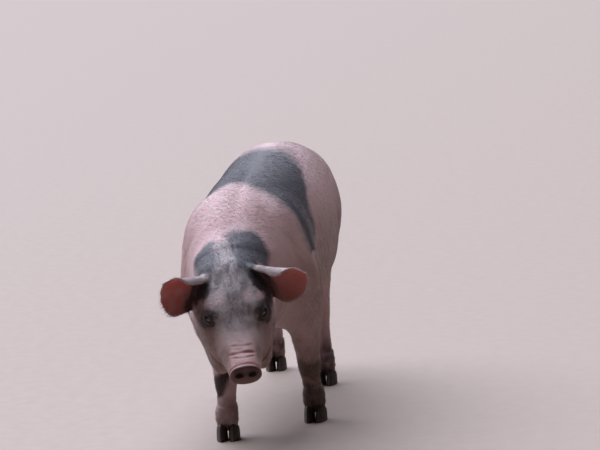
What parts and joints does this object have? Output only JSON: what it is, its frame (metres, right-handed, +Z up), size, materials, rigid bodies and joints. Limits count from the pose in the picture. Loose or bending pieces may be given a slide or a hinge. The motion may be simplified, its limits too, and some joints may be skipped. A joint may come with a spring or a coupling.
{
  "type": "pig",
  "caption": "Young pied pig, life-size still model, walking slowly with its head low, lop ears held out and a curled tail.",
  "frame": {"origin": "middle of the plan box, on the floor the soles stand on", "axes": "-Y is the way the pig walks, +X is its left side, +Z is up"},
  "size_m": [0.2446, 0.9366, 0.4491],
  "materials": {
    "hide": "pale pink hide with slate-grey patches and short fine bristles",
    "ear": "thin pink hide, dark at the root",
    "snout": "bare moist hide",
    "eye": "dark brown, glossy",
    "horn": "dark horn, satin"
  },
  "bodies": {
    "root": {"trunk": "hide", "neck": "hide", "snout": "snout", "jaw": "hide", "eye_left": "eye", "eye_right": "eye", "head": "hide", "ear_left": "ear", "ear_right": "ear", "tail": "hide", "fore_left_arm": "hide", "fore_left_claw_outer": "horn", "fore_left_dewclaw_outer": "horn", "fore_left_claw_inner": "horn", "fore_left_dewclaw_inner": "horn", "fore_left_shank": "hide", "fore_right_arm": "hide", "fore_right_claw_outer": "horn", "fore_right_dewclaw_outer": "horn", "fore_right_claw_inner": "horn", "fore_right_dewclaw_inner": "horn", "fore_right_shank": "hide", "hind_left_thigh": "hide", "hind_left_claw_outer": "horn", "hind_left_dewclaw_outer": "horn", "hind_left_claw_inner": "horn", "hind_left_dewclaw_inner": "horn", "hind_left_shank": "hide", "hind_right_thigh": "hide", "hind_right_claw_outer": "horn", "hind_right_dewclaw_outer": "horn", "hind_right_claw_inner": "horn", "hind_right_dewclaw_inner": "horn", "hind_right_shank": "hide"}
  },
  "joints": []
}
